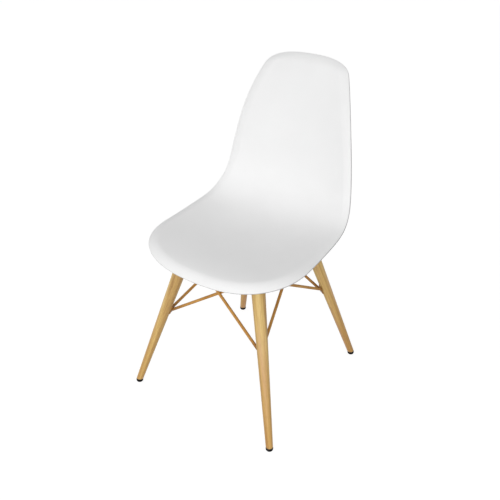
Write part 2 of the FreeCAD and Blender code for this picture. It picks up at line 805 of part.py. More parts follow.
def side_towards(corner, other):
    """Which side of a leg's plane of lean faces another leg: 1 or -1."""
    return 1 if corner.sideways.dot(other.foot - corner.foot) > 0 else -1


def rod_ends(low, high):
    """Where a rod's axis passes low on one leg and near the top of the next."""
    start = low.point(size["rod_low_rise"].value, size["rod_low_reach"].value,
                      size["rod_low_side"].value * side_towards(low, high))
    end = high.point(size["rod_high_rise"].value, size["rod_high_reach"].value,
                     size["rod_high_side"].value * side_towards(high, low))
    return start, end


def make_rod(low, high, label):
    """A rod between a saddle and a gusset; its twin crosses it the other way."""
    start, end = rod_ends(low, high)
    twin_start, twin_end = rod_ends(high, low)
    beside = (end - start).cross(twin_end - twin_start).normalize()
    between = (twin_start - start).dot(beside)
    away = beside * -1 if between >= 0 else beside
    wanted = size["rod_diameter"].value + size["rod_gap"].value
    apart = away * (max(wanted - abs(between), 0) / 2)
    start, end = start + apart, end + apart
    course = (end - start).normalize()
    over = size["leg_top_diameter"].value / 2
    start, end = start - course * over, end + course * over

    bar = doc.addObject("Part::Cylinder", label + "_bar")
    bind(bar, "Radius", size["rod_diameter"] / 2)
    bar.Height = (end - start).Length
    bar.Placement = FreeCAD.Placement(start, FreeCAD.Rotation(V(0, 0, 1), course))

    # the lower end is shaped to the saddle
    reach = size["saddle_height"]
    bottom, top = saddle_middle(low) - reach, saddle_middle(low) + reach
    round_cut = doc.addObject("Part::Cone", label + "_low_cut")
    bind(round_cut, "Radius1", saddle_reach(low, bottom) + size["weld_gap"])
    bind(round_cut, "Radius2", saddle_reach(low, top) + size["weld_gap"])
    bind(round_cut, "Height", reach * 2)
    foot = FreeCAD.Placement(V(0, 0, bottom.value), FreeCAD.Rotation())
    round_cut.Placement = low.leaning().multiply(foot)
    shaped = doc.addObject("Part::Cut", label + "_shaped")
    shaped.Base, shaped.Tool = bar, round_cut

    # the upper end butts against the side of the gusset
    flat_cut = doc.addObject("Part::Box", label + "_high_cut")
    block = size["leg_top_diameter"] * 2
    for prop in ("Length", "Width", "Height"):
        bind(flat_cut, prop, block)
    side = side_towards(high, low)
    centre = high.upright().inverse().multVec(end)
    face = side * size["gusset_wall"].value / 2
    corner_y = face - block.value if side > 0 else face
    corner = V(centre.x - block.value / 2, corner_y, centre.z - block.value / 2)
    flat_cut.Placement = high.upright().multiply(FreeCAD.Placement(corner, UNTURNED))
    rod = doc.addObject("Part::Cut", label)
    rod.Base, rod.Tool = shaped, flat_cut
    rod.Label = label
    pieces.append(rod)
    return rod


# Fasteners: each kind is one group of separate solids

def master(name):
    return doc.addObject("PartDesign::Body", name)


def make_bolt(name, reach):
    """A bolt along z with the underside of its head at 0, and a hexagon socket."""
    body = master(name)
    shank, head = size["bolt_diameter"] / 2, size["head_diameter"] / 2
    profile = sketch_on(body, "XZ_Plane", "profile")
    outline(profile, [(0, -reach), (shank, -reach), (shank, 0), (head, 0),
                      (head, size["head_height"]), (0, size["head_height"])])
    turn(body, profile, "turned_bolt")
    hexagon = sketch_on(body, "XY_Plane", "hexagon",
                        FreeCAD.Placement(V(0, 0, size["head_height"].value), UNTURNED))
    across = size["hex_width"] / math.sqrt(3)
    outline(hexagon, [(across * math.cos(math.radians(60 * k)),
                       across * math.sin(math.radians(60 * k))) for k in range(6)])
    pocket(body, hexagon, "socket", size["hex_width"] / 2)
    return body


def make_ring(name, outside, bore, wall):
    body = master(name)
    ring = sketch_on(body, "XY_Plane", "ring")
    circle(ring, 0, 0, outside)
    circle(ring, 0, 0, bore)
    pad(body, ring, "ring_pad", wall, midplane=False)
    return body


# The screw's domed head, as shares of its radius: out from the middle and up
SCREW_DOME = [(1.0, 0.0), (0.8, 0.5), (0.0, 0.7)]


def make_screw():
    """A wood screw along z with the underside of its domed head at 0."""
    body = master("brace_screw")
    shank, head = size["screw_diameter"] / 2, size["screw_head"] / 2
    point = size["screw_diameter"]
    profile = sketch_on(body, "XZ_Plane", "profile")
    outline(profile, [(0, -size["screw_length"] + size["fit_clearance"]),
                      (shank, -size["screw_length"] + point),
                      (shank, 0)] + [(head * a, head * b) for a, b in SCREW_DOME])
    turn(body, profile, "turned_screw")
    return body


def make_nail():
    body = master("glide_nail")
    shank, length = size["nail_diameter"] / 2, size["nail_length"]
    top = size["glide_hold"] + length
    profile = sketch_on(body, "XZ_Plane", "profile")
    outline(profile, [(0, 0), (shank, 0), (shank, top - shank * 2),
                      (0, top - size["fit_clearance"])])
    turn(body, profile, "turned_nail")
    return body


def group(label, body, places):
    """Put one solid at each place and keep them together as one piece of the list."""
    fasteners = doc.addObject("Part::Feature", label)
    solids = []
    for place in places:
        solid = body.Shape.copy()
        solid.Placement = place.multiply(solid.Placement)
        solids.append(solid)
    fasteners.Shape = Part.makeCompound(solids)
    return keep(fasteners, label, FreeCAD.Placement())


def out_of_leg(corner, along, reach):
    """Place with z pointing inwards, square to the leg, so far from its axis."""
    turned = FreeCAD.Rotation(V(0, 1, 0), 90)
    return corner.leaning().multiply(FreeCAD.Placement(V(reach, 0, along), turned))


def under_seat(corner, rise):
    return FreeCAD.Placement(mount_point(corner) + V(0, 0, rise),
                             FreeCAD.Rotation(V(1, 0, 0), 180))


def screw_seat(corner):
    """The screw's flat head touches the tapered saddle at its upper edge."""
    return saddle_reach(corner, screw_place(corner) + size["screw_head"] / 2).value


for corner in corners.values():
    make_leg(corner)
for corner in corners.values():
    make_glide(corner)
for corner in corners.values():
    make_arm(corner)
    make_gusset(corner)
    make_pad(corner)
    make_saddle(corner)
make_centre_plate()

neighbours = [("front_brace", "front_left", "front_right"),
              ("rear_brace", "rear_left", "rear_right"),
              ("left_brace", "front_left", "rear_left"),
              ("right_brace", "front_right", "rear_right")]
for label, one, other in neighbours:
    for low, high in ((one, other), (other, one)):
        falls_to = low.replace(label.split("_")[0], "").strip("_")
        make_rod(corners[low], corners[high], "%s_low_%s" % (label, falls_to))

ring_clearance = size["fit_clearance"] * 2
washer = make_ring("washer", size["washer_diameter"], bolt_bore, size["washer_wall"])
insert = make_ring("insert", size["insert_diameter"], size["bolt_diameter"] + ring_clearance,
                   size["insert_length"])
seat_stack = size["washer_wall"] + size["arm_wall"] + size["pad_height"]
seat_bolt = make_bolt("seat_bolt", seat_stack + size["seat_bolt_reach"])
leg_stack = size["washer_wall"] + size["arm_wall"]
leg_bolt = make_bolt("leg_bolt", leg_stack + size["leg_bolt_reach"])

arm_underside = size["frame_top"].value - size["arm_wall"].value
washer_wall = size["washer_wall"].value
places = list(corners.values())
group("seat_washers", washer, [under_seat(c, arm_underside) for c in places])
group("seat_bolts", seat_bolt, [under_seat(c, arm_underside - washer_wall) for c in places])
insert_top = boss_foot + size["insert_length"].value
group("seat_inserts", insert, [under_seat(c, insert_top) for c in places])

strap_face = size["flat_reach"].value + size["arm_wall"].value
insert_foot = size["flat_reach"].value - size["insert_length"].value
bolted = [(c, along.value) for c in places for along in bolt_places(c)]
group("leg_washers", washer, [out_of_leg(c, a, strap_face) for c, a in bolted])
group("leg_bolts", leg_bolt, [out_of_leg(c, a, strap_face + washer_wall) for c, a in bolted])
group("leg_inserts", insert, [out_of_leg(c, a, insert_foot) for c, a in bolted])
group("brace_screws", make_screw(),
      [out_of_leg(c, screw_place(c).value, screw_seat(c)) for c in places])
nail_lift = V(0, 0, nail_foot.value)
group("glide_nails", make_nail(),
      [FreeCAD.Placement(glide_centre(c) + nail_lift, UNTURNED) for c in places])

# Check everything, then write each piece to a file of its own
doc.recompute()
for thing in doc.Objects:
    if "Invalid" in thing.State or "Error" in thing.State:
        raise RuntimeError("%s failed" % thing.Label)
os.makedirs("parts", exist_ok=True)
for piece in pieces:
    if piece.Shape.isNull() or not piece.Shape.isValid():
        raise RuntimeError("%s has no sound shape" % piece.Label)
for piece in pieces:
    piece.Shape.exportStep("parts/%s.step" % piece.Label)
print("%d pieces" % len(pieces))
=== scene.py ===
import math

import bmesh
import bpy
import numpy as np
from mathutils import Matrix, Vector
from mathutils.bvhtree import BVHTree


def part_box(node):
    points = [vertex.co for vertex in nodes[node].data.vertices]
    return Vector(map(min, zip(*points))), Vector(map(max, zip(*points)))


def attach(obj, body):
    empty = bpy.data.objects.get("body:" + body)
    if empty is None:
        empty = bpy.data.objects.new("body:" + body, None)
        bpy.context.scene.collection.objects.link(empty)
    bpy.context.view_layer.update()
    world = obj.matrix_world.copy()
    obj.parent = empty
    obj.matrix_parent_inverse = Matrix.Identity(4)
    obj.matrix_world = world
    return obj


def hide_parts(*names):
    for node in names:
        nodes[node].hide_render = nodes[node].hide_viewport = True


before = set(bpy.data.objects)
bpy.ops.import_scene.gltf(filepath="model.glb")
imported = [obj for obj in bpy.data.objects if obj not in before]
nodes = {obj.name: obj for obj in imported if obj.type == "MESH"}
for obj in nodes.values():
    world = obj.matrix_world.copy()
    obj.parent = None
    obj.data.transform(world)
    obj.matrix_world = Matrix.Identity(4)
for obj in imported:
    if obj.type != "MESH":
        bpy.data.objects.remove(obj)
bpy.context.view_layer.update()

# A chair with a white moulded shell on four tapered light-wood legs,
# each side of the base braced by two crossed rods painted golden tan.
# Lengths are in metres; the forms of the shell are given in millimetres.

MM = 0.001
CORNERS = ("front_left", "front_right", "rear_left", "rear_right")


# Leg axes: where they meet the floor and where they end under the seat
LEG_LINES = {}
for side, sign in (("left", -1), ("right", 1)):
    LEG_LINES["front_" + side] = (Vector((sign * 0.2161, -0.2324, 0.0)),
                                  Vector((sign * 0.1074, -0.1332, 0.390)))
    LEG_LINES["rear_" + side] = (Vector((sign * 0.1951, 0.2151, 0.0)),
                                 Vector((sign * 0.0883, 0.1102, 0.390)))


# ---------------------------------------------------------------- shell form

SHELL_FRONT = -239.8
SHELL_DEPTH = 466.9
SEAT_HEIGHT = 420.0
BACK_RISE = 404.0
SHELL_WIDTH = 435.0
SIDE_RISE = 44.4
SIDE_POWER = 2.0
SHELL_WALL = 4.5
ROLL_DEPTH = 12.5
ROLL_WIDTH = 26.0
FRONT_ROUND = 165.1
TOP_ROUND = 41.7
FRONT_POWER = 2.37
TOP_POWER = 2.72

# The middle line from the front edge over the seat and up the back
MIDDLE_LINE = [(0.0, -0.0277), (0.045, -0.0114), (0.1769, 0.004), (0.377, -0.0005),
               (0.5774, -0.0025), (0.7526, 0.0285), (0.8646, 0.1356), (0.9107, 0.3639),
               (0.9214, 0.6151), (0.957, 0.8584), (1.0, 1.0)]
# Half width and rise of the sides against the way along the middle line
WIDTH_LINE = [(0.0, 0.5239), (0.12, 0.5002), (0.24, 0.4883), (0.36, 0.4772), (0.46, 0.4582),
              (0.56, 0.4301), (0.70, 0.3915), (0.84, 0.3370), (1.0, 0.2343)]
SIDE_LINE = [(0.0, 0.191), (0.15, 0.372), (0.32, 0.651), (0.45, 0.874), (0.55, 1.0),
             (0.66, 0.912), (0.82, 0.545), (1.0, -0.034)]
# Depth and width of the rolled edge against the way along
ROLL_LINE = [(0.0, 1.0, 1.0), (0.2, 0.84, 0.92), (0.35, 0.60, 0.81), (0.5, 0.48, 0.77),
             (0.65, 0.64, 0.85), (0.85, 0.72, 0.96), (1.0, 0.80, 1.15)]

ACROSS = 120
ALONG = 196
RIM_STEPS = 8
# Points nearer than this are sewn together
SEWING_REACH = 0.001


class SmoothLine:
    """A smooth curve through points, with the chords between them as its measure."""

    def __init__(self, points):
        self.points = np.array(points, float)
        chords = np.linalg.norm(np.diff(self.points, axis=0), axis=1)
        self.knots = np.concatenate([[0.0], np.cumsum(chords)])
        self.slopes = self.find_slopes()

    def end_slope(self, chosen, end):
        steps = self.knots[chosen] - self.knots[end]
        return np.array([np.polyfit(steps, self.points[chosen, k], 3)[2]
                         for k in range(self.points.shape[1])])

    def find_slopes(self):
        count = len(self.knots)
        gap = np.diff(self.knots)
        rise = np.diff(self.points, axis=0) / gap[:, None]
        left = np.eye(count)
        right = np.zeros_like(self.points)
        right[0] = self.end_slope(list(range(4)), 0)
        right[-1] = self.end_slope(list(range(count - 4, count)), count - 1)
        for i in range(1, count - 1):
            left[i, i - 1] = gap[i]
            left[i, i] = 2 * (gap[i - 1] + gap[i])
            left[i, i + 1] = gap[i - 1]
            right[i] = 3 * (gap[i] * rise[i - 1] + gap[i - 1] * rise[i])
        return np.linalg.solve(left, right)

    def sample(self, count):
        """Points spread evenly over the curve's measure."""
        where = np.linspace(0, self.knots[-1], count)
        i = np.clip(np.searchsorted(self.knots, where, side="right") - 1, 0, len(self.knots) - 2)
        gap = (self.knots[i + 1] - self.knots[i])[:, None]
        t = (where - self.knots[i])[:, None] / gap
        return ((1 + 2 * t) * (1 - t) ** 2 * self.points[i]
                + t * (1 - t) ** 2 * gap * self.slopes[i]
                + t * t * (3 - 2 * t) * self.points[i + 1]
                + t * t * (t - 1) * gap * self.slopes[i + 1])


class ShellForm:
    """The sitting surface, in millimetres: points and directions at (along, across)."""

    FINE = 6001

    def __init__(self):
        line = SmoothLine([(SHELL_FRONT + SHELL_DEPTH * a, SEAT_HEIGHT + BACK_RISE * b)
                           for a, b in MIDDLE_LINE]).sample(self.FINE)
        steps = np.linalg.norm(np.diff(line, axis=0), axis=1)
        self.way = np.concatenate([[0.0], np.cumsum(steps)])
        self.length = self.way[-1]
        self.line = np.column_stack([line, np.gradient(line, self.way, axis=0)])
        self.widths = self.graph(WIDTH_LINE, SHELL_WIDTH)
        self.rises = self.graph(SIDE_LINE, SIDE_RISE)
        self.roll_depths = self.graph([(a, b) for a, b, c in ROLL_LINE], ROLL_DEPTH)
        self.roll_widths = self.graph([(a, c) for a, b, c in ROLL_LINE], ROLL_WIDTH)

    def graph(self, line, scale):
        return SmoothLine([(a * self.length, b * scale) for a, b in line]).sample(self.FINE)

    def read(self, graph, along):
        return np.interp(along, graph[:, 0], graph[:, 1])

    def half_width(self, along):
        return self.read(self.widths, along)

    def inside_edge(self, along, across):
        """How far places lie inside the outline, near enough for the rolled edge."""
        half = self.half_width(along)
        share = np.abs(across) / half
        front = along < FRONT_ROUND
        reach = np.where(front, FRONT_ROUND, TOP_ROUND)
        power = np.where(front, FRONT_POWER, TOP_POWER)
        end = np.maximum(np.where(front, 1 - along / FRONT_ROUND,
                                  1 - (self.length - along) / TOP_ROUND), 0)
        level = np.maximum((share ** power + end ** power) ** (1 / power), 1e-6)
        slope = np.hypot((share / level) ** (power - 1) / half,
                         (end / level) ** (power - 1) / reach)
        return (1 - level) / np.maximum(slope, 1e-9)

    def point(self, along, across):
        near = np.clip(along, 0.0, self.length)
        y, z, ahead_y, ahead_z = (np.interp(near, self.way, self.line[:, k]) for k in range(4))
        half, rise = self.half_width(near), self.read(self.rises, near)
        share = np.abs(across) / half
        lift = rise * share ** SIDE_POWER
        lean = SIDE_POWER * rise * share ** (SIDE_POWER - 1) * np.sign(across) / half
        inside = self.inside_edge(along, across) / self.read(self.roll_widths, near)
        rolled = np.maximum(1 - inside, 0) ** 2 * self.read(self.roll_depths, near)
        rolled = rolled / np.hypot(lean, 1)
        over = along - near
        return np.stack([across + lean * rolled,
                         y + ahead_y * over - ahead_z * (lift - rolled),
                         z + ahead_z * over + ahead_y * (lift - rolled)], axis=-1)

    def normal(self, along, across):
        step = 0.5
        ahead = self.point(along + step, across) - self.point(along - step, across)
        aside = self.point(along, across + step) - self.point(along, across - step)
        square = np.cross(aside, ahead)
        return square / np.linalg.norm(square, axis=-1, keepdims=True)

    def half_outline(self, count=400):
        """The right-hand outline from the front's middle to the top's, as (along, across)."""
        turned = np.linspace(0, math.pi / 2, count)
        cosine, sine = np.abs(np.cos(turned)), np.sin(turned)
        front = FRONT_ROUND * (1 - cosine ** (2 / FRONT_POWER))
        side = np.linspace(FRONT_ROUND, self.length - TOP_ROUND, count)[1:-1]
        top = (self.length - TOP_ROUND * (1 - cosine ** (2 / TOP_POWER)))[::-1]
        along = np.concatenate([front, side, top])
        share = np.concatenate([sine ** (2 / FRONT_POWER), np.ones(len(side)),
                                sine[::-1] ** (2 / TOP_POWER)])
        return np.column_stack([along, share * self.half_width(along)])


class ShellNet:
    """Places on the shell for a square net: u across, v along, both from -1 to 1."""

    FRONT_CORNER = 0.55
    TOP_CORNER = 0.62
    GATHER = 0.45

    def __init__(self, form):
        places = form.half_outline()
        steps = np.linalg.norm(np.diff(places, axis=0), axis=1)
        way = np.concatenate([[0.0], np.cumsum(steps)])
        self.places, self.way = places, way
        half_width = form.half_width(FRONT_ROUND)
        self.front = way[np.argmax(places[:, 1] > self.FRONT_CORNER * half_width)]
        top = places[::-1]
        narrow = form.half_width(form.length) * self.TOP_CORNER
        self.top = way[::-1][np.argmax(top[:, 1] > narrow)]

    def edge(self, way, side):
        return np.stack([np.interp(way, self.way, self.places[:, 0]),
                         np.interp(way, self.way, self.places[:, 1]) * side], axis=-1)

    def gathered(self, t):
        """Lines of the net stand closer together near the outline."""
        return t + self.GATHER * np.sin(math.pi * t) / math.pi

    def place(self, u, v):
        u, v = self.gathered(u), self.gathered(v)
        s, t = ((u + 1) / 2)[:, None], ((v + 1) / 2)[:, None]
        side_way = self.front + (self.top - self.front) * t[:, 0]
        left, right = self.edge(side_way, -1), self.edge(side_way, 1)
        hand = np.where(u < 0, -1.0, 1.0)
        front = self.edge(np.abs(u) * self.front, hand)
        total = self.way[-1]
        top = self.edge(total - np.abs(u) * (total - self.top), hand)
        flat = (self.edge(self.front, -1) * (1 - s) * (1 - t) + self.edge(self.front, 1) * s * (1 - t)
                + self.edge(self.top, -1) * (1 - s) * t + self.edge(self.top, 1) * s * t)
        return left * (1 - s) + right * s + front * (1 - t) + top * t - flat


# ------------------------------------------------------------------- helpers

def new_piece(name, bm, material, smooth=True):
    """A finished mesh as a piece of the chair, at the origin."""
    mesh = bpy.data.meshes.new(name)
    bm.to_mesh(mesh)
    bm.free()
    for face in mesh.polygons:
        face.use_smooth = smooth
    mesh.materials.append(material)
    piece = bpy.data.objects.new(name, mesh)
    bpy.context.scene.collection.objects.link(piece)
    return piece


def faces_of(geometry):
    return [g for g in geometry if isinstance(g, bmesh.types.BMFace)]


def verts_of(geometry):
    return [g for g in geometry if isinstance(g, bmesh.types.BMVert)]


def edges_of(geometry):
    return [g for g in geometry if isinstance(g, bmesh.types.BMEdge)]


# ------------------------------------------------------------------ shell mesh

form = ShellForm()
net = ShellNet(form)


def shell_mesh():
    """The shell: sitting surface, rounded rim and underside in one closed skin."""
    bm = bmesh.new()
    bmesh.ops.create_grid(bm, x_segments=ACROSS, y_segments=ALONG, size=1.0)
    up = bm.verts.layers.float_vector.new("up")
    out = bm.verts.layers.float_vector.new("out")
    core = bm.verts.layers.float_vector.new("core")
    turned = bm.verts.layers.float.new("turned")
    square = np.array([vert.co[:2] for vert in bm.verts])
    along, across = net.place(square[:, 0], square[:, 1]).T
    for vert, point, normal in zip(bm.verts, form.point(along, across),
                                   form.normal(along, across)):
        vert.co = point
        vert[up] = Vector(normal)
        vert[core] = vert.co - vert[up] * (SHELL_WALL / 2)
    if sum(face.normal.z for face in bm.faces) < 0:
        bmesh.ops.reverse_faces(bm, faces=bm.faces[:])
    bm.normal_update()
    top_faces = bm.faces[:]
    rim = [edge for edge in bm.edges if edge.is_boundary]
    for vert in {v for edge in rim for v in edge.verts}:
        ends = [e.other_vert(vert).co for e in vert.link_edges if e.is_boundary]
        outward = (ends[1] - ends[0]).cross(vert[up]).normalized()
        middle = sum((f.calc_center_median() for f in vert.link_faces), Vector())
        if outward.dot(vert.co - middle / len(vert.link_faces)) < 0:
            outward = -outward
        vert[out] = outward
    under = bmesh.ops.duplicate(bm, geom=top_faces)["geom"]
    for step in range(1, RIM_STEPS + 1):
        angle = math.pi * step / RIM_STEPS
        ring = bmesh.ops.extrude_edge_only(bm, edges=rim)["geom"]
        for vert in verts_of(ring):
            arm = vert[up] * math.cos(angle) + vert[out] * math.sin(angle)
            vert.co = vert[core] + arm * (SHELL_WALL / 2)
            vert[turned] = step / RIM_STEPS
        rim = [e for e in edges_of(ring) if e.is_boundary]
    for vert in verts_of(under):
        vert.co = vert[core] - vert[up] * (SHELL_WALL / 2)
        vert[turned] = 1.0
    bmesh.ops.reverse_faces(bm, faces=faces_of(under))
    bmesh.ops.remove_doubles(bm, verts=bm.verts[:], dist=SEWING_REACH)
    add_bosses(bm)
    bmesh.ops.recalc_face_normals(bm, faces=bm.faces[:])
    if any(not edge.is_manifold for edge in bm.edges):
        raise RuntimeError("the shell is not closed")
    around = bm.loops.layers.uv.new("rim")
    for face in bm.faces:
        for loop in face.loops:
            loop[around].uv = (loop.vert[turned], 0.5)
    bmesh.ops.scale(bm, vec=(MM, MM, MM), verts=bm.verts[:])
    return bm


# Bosses for the seat's inserts, each with four ribs, under the shell
BOSS_RADIUS = 12.0
INSERT_BORE = 4.55
INSERT_DEPTH = 9.0
RIB_START = 9.0
RIB_END = 31.0
RIB_WALL = 3.0
RIB_LIFT = 6.0
BOSS_SIDES = 48
RIB_STEPS = 14


def ring(bm, radius, centre):
    verts = bmesh.ops.create_circle(bm, segments=BOSS_SIDES, radius=radius,
                                    matrix=Matrix.Translation(centre))["verts"]
    return list({edge for vert in verts for edge in vert.link_edges})


def fill_end(bm, grown):
    bmesh.ops.edgeloop_fill(bm, edges=[e for e in edges_of(grown) if e.is_boundary])


def add_boss(bm, centre, raise_to_wall):
    outer, inner = ring(bm, BOSS_RADIUS, centre), ring(bm, INSERT_BORE, centre)
    bmesh.ops.bridge_loops(bm, edges=outer + inner)
    wall = bmesh.ops.extrude_edge_only(bm, edges=outer)["geom"]
    raise_to_wall(verts_of(wall))
    fill_end(bm, wall)
    bore = bmesh.ops.extrude_edge_only(bm, edges=inner)["geom"]
    bmesh.ops.translate(bm, vec=(0, 0, INSERT_DEPTH), verts=verts_of(bore))
    fill_end(bm, bore)


def add_rib(bm, centre, heading, raise_to_wall):
    """One rib, from inside the boss's wall outwards."""
    strip = bmesh.ops.create_grid(bm, x_segments=RIB_STEPS, y_segments=1, size=0.5)["verts"]
    bmesh.ops.scale(bm, vec=(RIB_END - RIB_START, RIB_WALL, 1), verts=strip)
    bmesh.ops.translate(bm, vec=((RIB_END + RIB_START) / 2, 0, RIB_LIFT), verts=strip)
    bmesh.ops.rotate(bm, cent=(0, 0, 0), matrix=Matrix.Rotation(heading, 3, "Z"), verts=strip)
    bmesh.ops.translate(bm, vec=centre, verts=strip)
    faces = list({face for vert in strip for face in vert.link_faces})
    raised = bmesh.ops.extrude_face_region(bm, geom=faces)["geom"]
    raise_to_wall(verts_of(raised))


def add_bosses(bm):
    skin = BVHTree.FromBMesh(bm)

    def raise_to_wall(verts):
        for vert in verts:
            hit = skin.ray_cast(vert.co, Vector((0, 0, 1)))[0]
            vert.co.z = hit.z + SHELL_WALL / 2

    for corner in CORNERS:
        low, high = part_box("seat_pad_" + corner)
        centre = Vector(((low[0] + high[0]) / 2, (low[1] + high[1]) / 2, high[2])) / MM
        foot, top = LEG_LINES[corner]
        heading = math.atan2(top.y - foot.y, top.x - foot.x)
        add_boss(bm, centre, raise_to_wall)
        for quarter in range(4):
            add_rib(bm, centre, heading + quarter * math.pi / 2, raise_to_wall)


# ------------------------------------------------------------------- finishes

# The numbers of a colour mix's inputs and of its result
MIX_FACTOR, MIX_FIRST, MIX_SECOND, MIX_RESULT = 0, 6, 7, 2
# Most of a noise's values lie between these
NOISE_LOW, NOISE_HIGH = 0.3, 0.7


def opaque(colour):
    return (*colour, 1.0) if isinstance(colour, tuple) else colour


class Finish:
    """The nodes of a material, a group or the world, with short calls to make them."""

    def __init__(self, tree, material=None):
        self.tree = tree
        self.material = material

    def node(self, kind, values=None, **settings):
        made = self.tree.nodes.new(kind)
        for key, value in settings.items():
            setattr(made, key, value)
        for key, value in (values or {}).items():
            if isinstance(value, bpy.types.NodeSocket):
                self.tree.links.new(value, made.inputs[key])
            else:
                made.inputs[key].default_value = value
        return made

    def math(self, operation, *values):
        return self.node("ShaderNodeMath", dict(enumerate(values)),
                         operation=operation).outputs[0]

    def noise(self, place, scale, detail, roughness=0.5, distortion=0.0):
        return self.node("ShaderNodeTexNoise",
                         {"Vector": place, "Scale": scale, "Detail": detail,
                          "Roughness": roughness, "Distortion": distortion}).outputs["Fac"]

    def ramp(self, factor, stops):
        made = self.node("ShaderNodeValToRGB", {"Fac": factor})
        bar = made.color_ramp
        while len(bar.elements) < len(stops):
            bar.elements.new(0.5)
        for element, (place, colour) in zip(bar.elements, stops):
            element.position = place
            element.color = opaque(colour)
        return made.outputs["Color"]

    def spread(self, factor, low, high, to_low, to_high):
        return self.node("ShaderNodeMapRange",
                         {"Value": factor, "From Min": low, "From Max": high,
                          "To Min": to_low, "To Max": to_high}).outputs["Result"]

    def blend(self, factor, first, second, kind="MIX"):
        made = self.node("ShaderNodeMix", data_type="RGBA", blend_type=kind)
        for key, value in ((MIX_FACTOR, factor), (MIX_FIRST, opaque(first)),
                           (MIX_SECOND, opaque(second))):
            if isinstance(value, bpy.types.NodeSocket):
                self.tree.links.new(value, made.inputs[key])
            else:
                made.inputs[key].default_value = value
        return made.outputs[MIX_RESULT]

    def bump(self, height, strength, distance):
        return self.node("ShaderNodeBump", {"Height": height, "Strength": strength,
                                            "Distance": distance}).outputs[0]

    def object_place(self):
        return self.node("ShaderNodeTexCoord").outputs["Object"]

    def part_of(self, vector, axis):
        return self.node("ShaderNodeSeparateXYZ", {"Vector": vector}).outputs[axis]

    def surface(self, values):
        shader = self.node("ShaderNodeBsdfPrincipled", values)
        self.node("ShaderNodeOutputMaterial", {"Surface": shader.outputs[0]})
        return self.material

    def sockets(self, inputs, outputs):
        """The inputs and outputs of a group."""
        for side, listed in (("INPUT", inputs), ("OUTPUT", outputs)):
            for name, kind in listed:
                self.tree.interface.new_socket(name=name, in_out=side,
                                               socket_type="NodeSocket" + kind)


def new_material(name):
    material = bpy.data.materials.new(name)
    material.use_nodes = True
    material.node_tree.nodes.clear()
    return Finish(material.node_tree, material)


def new_group(name):
    return Finish(bpy.data.node_groups.new(name, "ShaderNodeTree"))


def moulded_skin_group():
    """Fine grain and slow unevenness of a moulded or painted skin."""
    skin = new_group("moulded_skin")
    skin.sockets([("Place", "Vector"), ("Grain", "Float"), ("Drift", "Float")],
                 [("Height", "Float"), ("Drift", "Float")])
    given = skin.node("NodeGroupInput").outputs
    skin.node("NodeGroupOutput",
              {"Height": skin.noise(given["Place"], given["Grain"], 3.0, 0.6),
               "Drift": skin.noise(given["Place"], given["Drift"], 2.0)})
    return skin.tree


moulded_skin = moulded_skin_group()
SKIN_DEPTH = 0.0002


def skin_of(finish, grain, drift):
    return finish.node("ShaderNodeGroup", {"Place": finish.object_place(), "Grain": grain,
                                           "Drift": drift}, node_tree=moulded_skin).outputs


def drifting(finish, skin, low, high):
    """A value that drifts slowly over the skin, from one end to the other."""
    return finish.spread(skin["Drift"], NOISE_LOW, NOISE_HIGH, low, high)


def skin_surface(finish, skin, colour, roughness, uneven, bump, values):
    return finish.surface({
        "Base Color": colour,
        "Roughness": drifting(finish, skin, roughness - uneven, roughness + uneven),
        "Normal": finish.bump(skin["Height"], bump, SKIN_DEPTH), **values})


# Painted shade round the rim: a soft grey line between these shares of its turn
RIM_SHADE_START = (0.05, 0.25)
RIM_SHADE_END = (0.85, 1.0)
RIM_SHADE_COLOUR = (0.40, 0.40, 0.40)
PLASTIC_DRIFT = 9.0
PLASTIC_UNEVEN = 0.03


def plastic_finish(name, pale, dark, roughness, grain, bump, specular, rim_shade=0.0):
    finish = new_material(name)
    skin = skin_of(finish, grain, PLASTIC_DRIFT)
    colour = finish.blend(drifting(finish, skin, 0.0, 1.0), pale, dark)
    # Painted shade: a grey line over the middle of the rounded rim's turn
    if rim_shade:
        around = finish.node("ShaderNodeUVMap", uv_map="rim").outputs["UV"]
        turned = finish.part_of(around, "X")
        line = finish.math("MULTIPLY", finish.spread(turned, *RIM_SHADE_START, 0.0, rim_shade),
                           finish.spread(turned, *RIM_SHADE_END, 1.0, 0.0))
        colour = finish.blend(line, colour, RIM_SHADE_COLOUR)
    return skin_surface(finish, skin, colour, roughness, PLASTIC_UNEVEN, bump,
                        {"Specular IOR Level": specular})


# Painted shade: the rods grow darker downwards between these heights, where they reach the saddles
ROD_SHADE_TOP = 0.256
ROD_SHADE_FOOT = 0.230
ROD_SHADE_COLOUR = (0.16, 0.060, 0.020)
METAL_DRIFT = 30.0
METAL_UNEVEN = 0.05


def metal_finish(name, pale, dark, roughness, metallic, grain, bump, specular=0.5,
                 saddle_shade=0.0):
    finish = new_material(name)
    skin = skin_of(finish, grain, METAL_DRIFT)
    colour = finish.blend(drifting(finish, skin, 0.0, 1.0), pale, dark)
    # Painted shade darkens the rods' low ends where they meet the saddles
    if saddle_shade:
        height = finish.part_of(finish.object_place(), "Z")
        colour = finish.blend(finish.spread(height, ROD_SHADE_TOP, ROD_SHADE_FOOT, 0.0, saddle_shade),
                              colour, ROD_SHADE_COLOUR)
    return skin_surface(finish, skin, colour, roughness, METAL_UNEVEN, bump,
                        {"Metallic": metallic, "Specular IOR Level": specular})


# How fine each layer of the wood is, across the grain and along it
BAND_SCALE = (70.0, 2.2)
STREAK_SCALE = (420.0, 9.0)
PORE_SCALE = (1500.0, 60.0)
TINT_SCALE = (48.0, 3.0)
BAND_SHARE = 0.62
STREAK_SHARE = 0.38

WOOD_TONES = [(0.34, (0.40, 0.215, 0.070)), (0.44, (0.57, 0.355, 0.120)),
              (0.55, (0.69, 0.470, 0.165)), (0.66, (0.80, 0.590, 0.235))]
ROSY_TONE = (0.64, 0.370, 0.200)
STREAK_TONE = (0.42, 0.215, 0.070)
PORE_TONE = (0.34, 0.180, 0.065)
PORE_DARKNESS = 0.35
WOOD_ROUGHNESS = (0.40, 0.52)

# The wood is browner from here down to the foot
FOOT_TONE_TOP = 0.26
FOOT_TONE = (0.90, 0.76, 0.62)
FOOT_TONE_SHARE = 0.85


